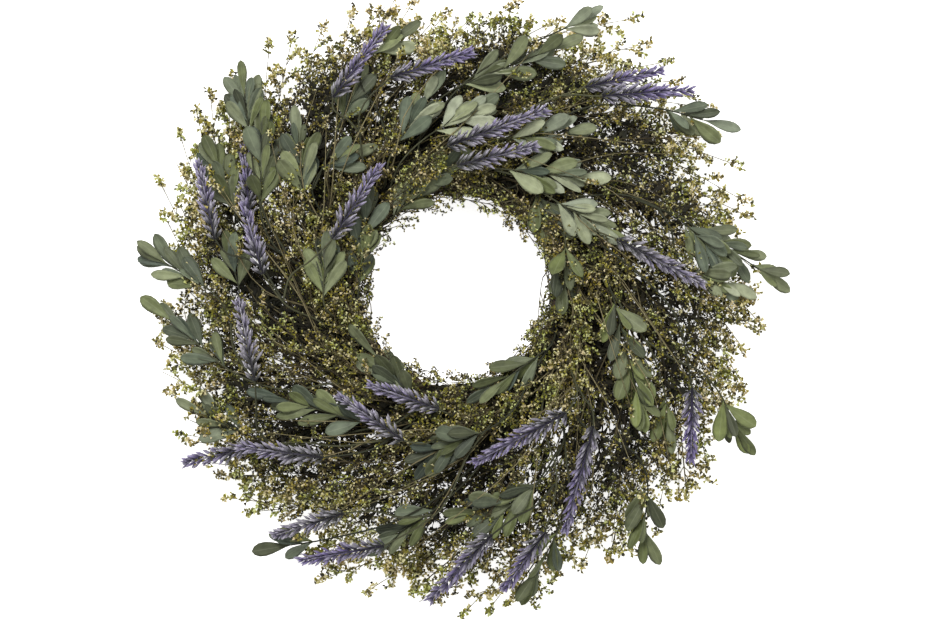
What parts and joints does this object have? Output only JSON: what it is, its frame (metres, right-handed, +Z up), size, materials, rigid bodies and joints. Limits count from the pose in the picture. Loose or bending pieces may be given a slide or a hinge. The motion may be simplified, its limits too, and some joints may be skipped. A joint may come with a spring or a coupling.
{
  "type": "lavender wreath",
  "caption": "Round vine wreath with lavender, grey-green leafy stems and dried seed sprays that sweep clockwise round an open middle.",
  "frame": {"origin": "on the surface that the wreath lies on, under the middle of its box", "axes": "+Z up out of the wreath's front as it lies on its back, +X to the right and +Y to the top of the wreath seen from the front"},
  "size_m": [0.4611, 0.4257, 0.0842],
  "materials": {
    "vine_bark": "rough brown bark",
    "dried_lavender": "matt violet florets, greyer at the foot",
    "lavender_stalk": "matt grey-green stalk",
    "grey_green_leaf": "matt grey-green leaf, paler underneath",
    "dried_seed_spray": "matt mustard and brown florets on thin twigs"
  },
  "bodies": {
    "root": {"vine_ring": "vine_bark", "lavender_head_01": "dried_lavender", "lavender_head_02": "dried_lavender", "lavender_head_03": "dried_lavender", "lavender_head_04": "dried_lavender", "lavender_head_05": "dried_lavender", "lavender_head_06": "dried_lavender", "lavender_head_07": "dried_lavender", "lavender_head_08": "dried_lavender", "lavender_head_09": "dried_lavender", "lavender_head_10": "dried_lavender", "lavender_head_11": "dried_lavender", "lavender_head_12": "dried_lavender", "lavender_head_13": "dried_lavender", "lavender_head_14": "dried_lavender", "lavender_head_15": "dried_lavender", "lavender_head_16": "dried_lavender", "lavender_head_17": "dried_lavender", "lavender_head_18": "dried_lavender", "lavender_head_19": "dried_lavender", "lavender_head_20": "dried_lavender", "lavender_head_21": "dried_lavender", "lavender_head_22": "dried_lavender", "lavender_head_23": "dried_lavender", "lavender_stalks_01": "lavender_stalk", "lavender_stalks_02": "lavender_stalk", "lavender_stalks_03": "lavender_stalk", "lavender_stalks_04": "lavender_stalk", "lavender_stalks_05": "lavender_stalk", "lavender_stalks_06": "lavender_stalk", "lavender_stalks_07": "lavender_stalk", "lavender_stalks_08": "lavender_stalk", "lavender_stalks_09": "lavender_stalk", "lavender_stalks_10": "lavender_stalk", "leafy_stems_01": "grey_green_leaf", "leafy_stems_02": "grey_green_leaf", "leafy_stems_03": "grey_green_leaf", "leafy_stems_04": "grey_green_leaf", "leafy_stems_05": "grey_green_leaf", "leafy_stems_06": "grey_green_leaf", "leafy_stems_07": "grey_green_leaf", "leafy_stems_08": "grey_green_leaf", "leafy_stems_09": "grey_green_leaf", "leafy_stems_10": "grey_green_leaf", "leafy_stems_11": "grey_green_leaf", "leafy_stems_12": "grey_green_leaf", "leafy_stems_13": "grey_green_leaf", "leafy_stems_14": "grey_green_leaf", "leafy_stems_15": "grey_green_leaf", "leafy_stems_16": "grey_green_leaf", "leafy_stems_17": "grey_green_leaf", "seed_sprays_01": "dried_seed_spray", "seed_sprays_02": "dried_seed_spray", "seed_sprays_03": "dried_seed_spray", "seed_sprays_04": "dried_seed_spray", "seed_sprays_05": "dried_seed_spray", "seed_sprays_06": "dried_seed_spray", "seed_sprays_07": "dried_seed_spray", "seed_sprays_08": "dried_seed_spray", "seed_sprays_09": "dried_seed_spray"}
  },
  "joints": []
}
